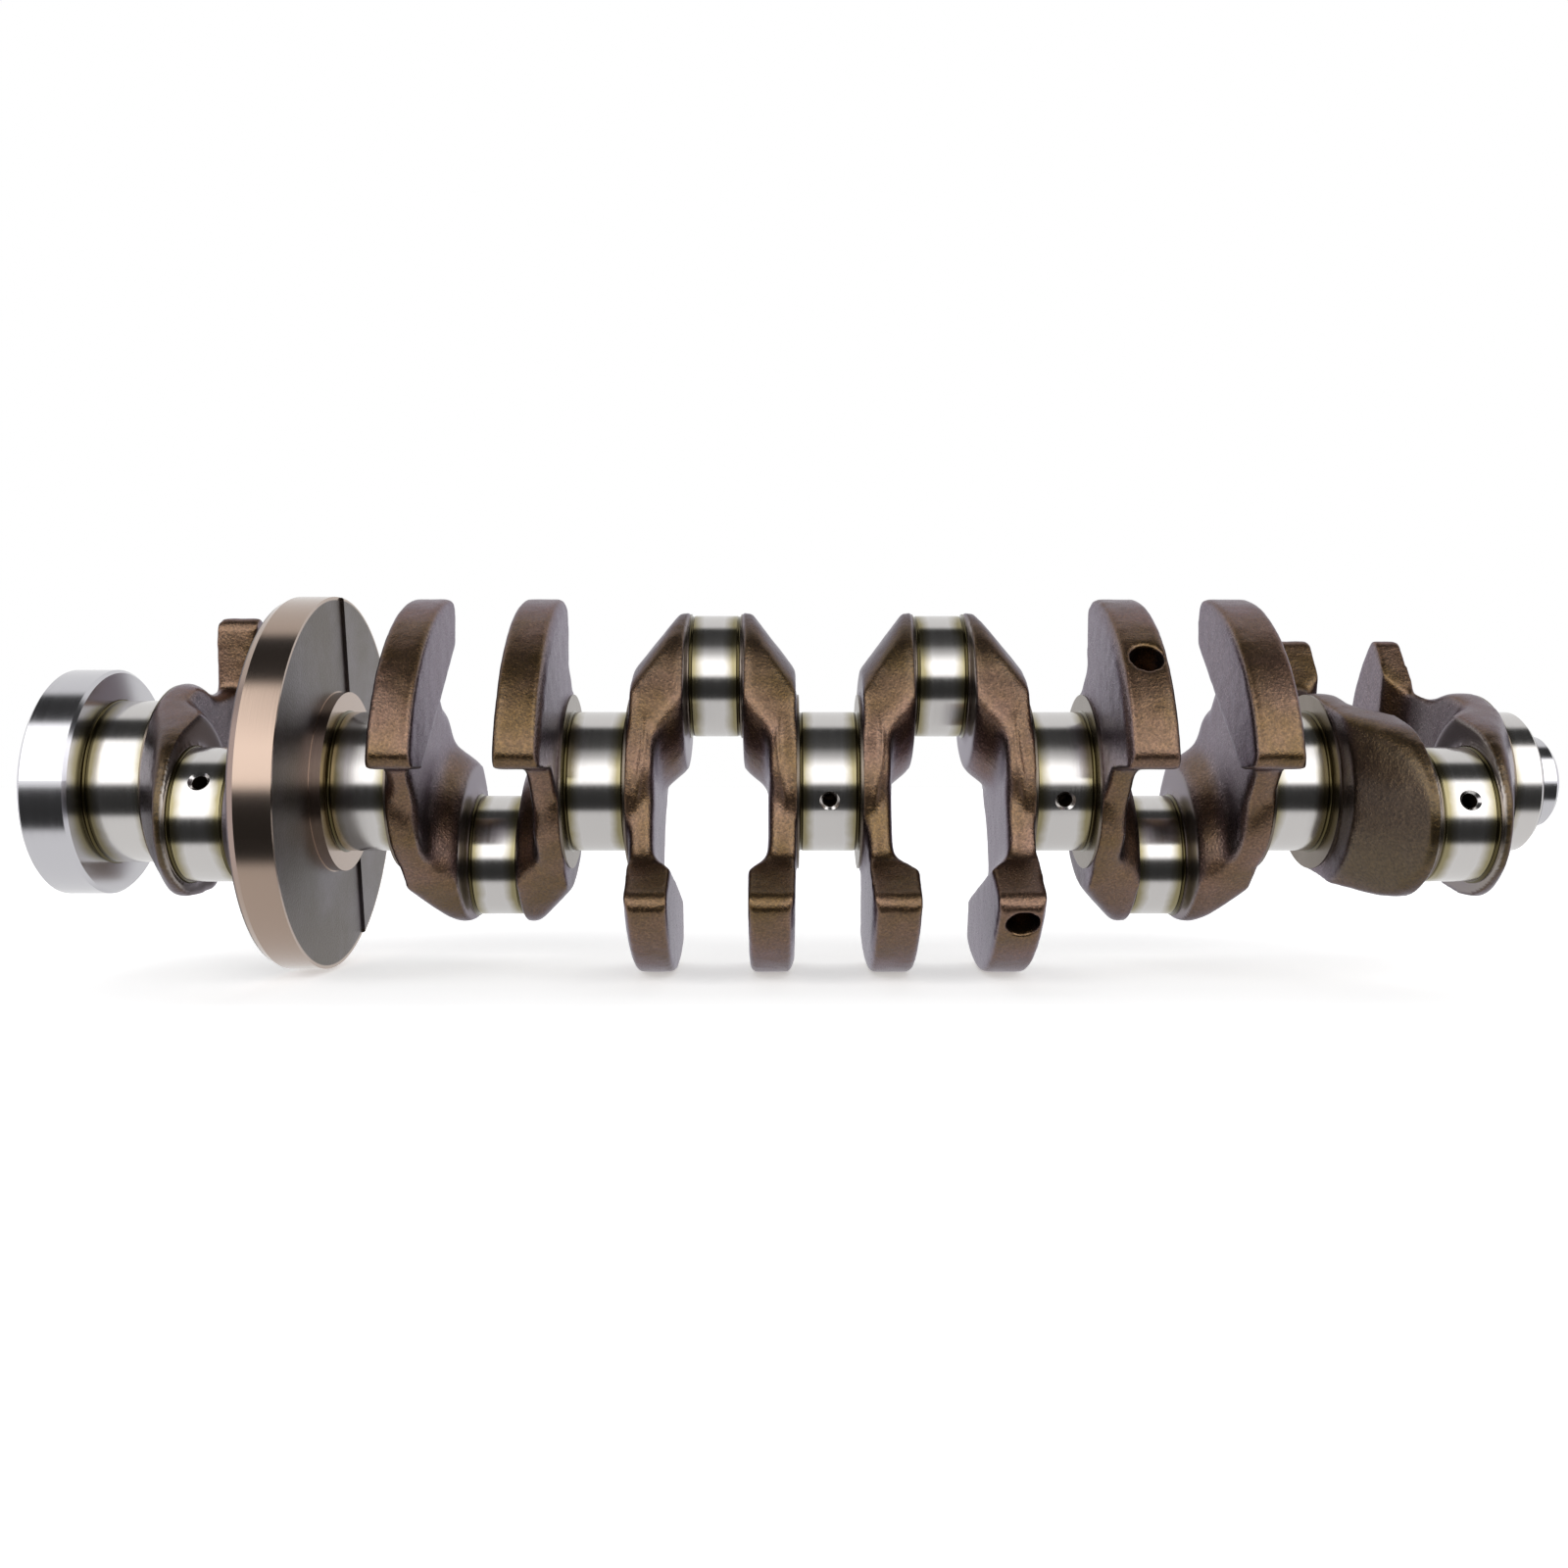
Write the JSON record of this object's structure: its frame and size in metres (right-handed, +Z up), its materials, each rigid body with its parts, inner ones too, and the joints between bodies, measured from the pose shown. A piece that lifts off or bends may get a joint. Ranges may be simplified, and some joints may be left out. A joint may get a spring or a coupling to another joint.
{
  "type": "crankshaft",
  "caption": "Forged engine crankshaft with ground journals and crankpins, forged webs with counterweights, a round balance web, a rear flywheel flange and a stepped nose.",
  "frame": {"origin": "on the main axis, in the middle of main journal 4, the centre bearing", "axes": "+X along the shaft towards the nose, -X towards the flywheel flange, +Z up"},
  "size_m": [0.5979, 0.1513, 0.1503],
  "materials": {
    "ground_steel": "ground and polished, lightly oiled",
    "turned_steel": "fine turned",
    "round_web_steel": "forged faces with a turned rim",
    "forged_steel": "as forged, brown oxide, fine grain",
    "dowel_steel": "ground"
  },
  "bodies": {
    "root": {"rear_flange": "turned_steel", "flywheel_dowel": "dowel_steel", "main_journal_1": "ground_steel", "main_journal_2": "ground_steel", "main_journal_3": "ground_steel", "main_journal_4": "ground_steel", "main_journal_5": "ground_steel", "main_journal_6": "ground_steel", "main_journal_7": "ground_steel", "crankpin_1": "ground_steel", "crankpin_2": "ground_steel", "crankpin_3": "ground_steel", "crankpin_4": "ground_steel", "crankpin_5": "ground_steel", "crankpin_6": "ground_steel", "web_01": "forged_steel", "web_02": "forged_steel", "web_03": "forged_steel", "web_04": "forged_steel", "web_05": "forged_steel", "web_06": "forged_steel", "web_07": "forged_steel", "web_08": "forged_steel", "web_09": "forged_steel", "web_10": "forged_steel", "round_web_11": "round_web_steel", "web_12": "forged_steel", "nose": "turned_steel"}
  },
  "joints": []
}
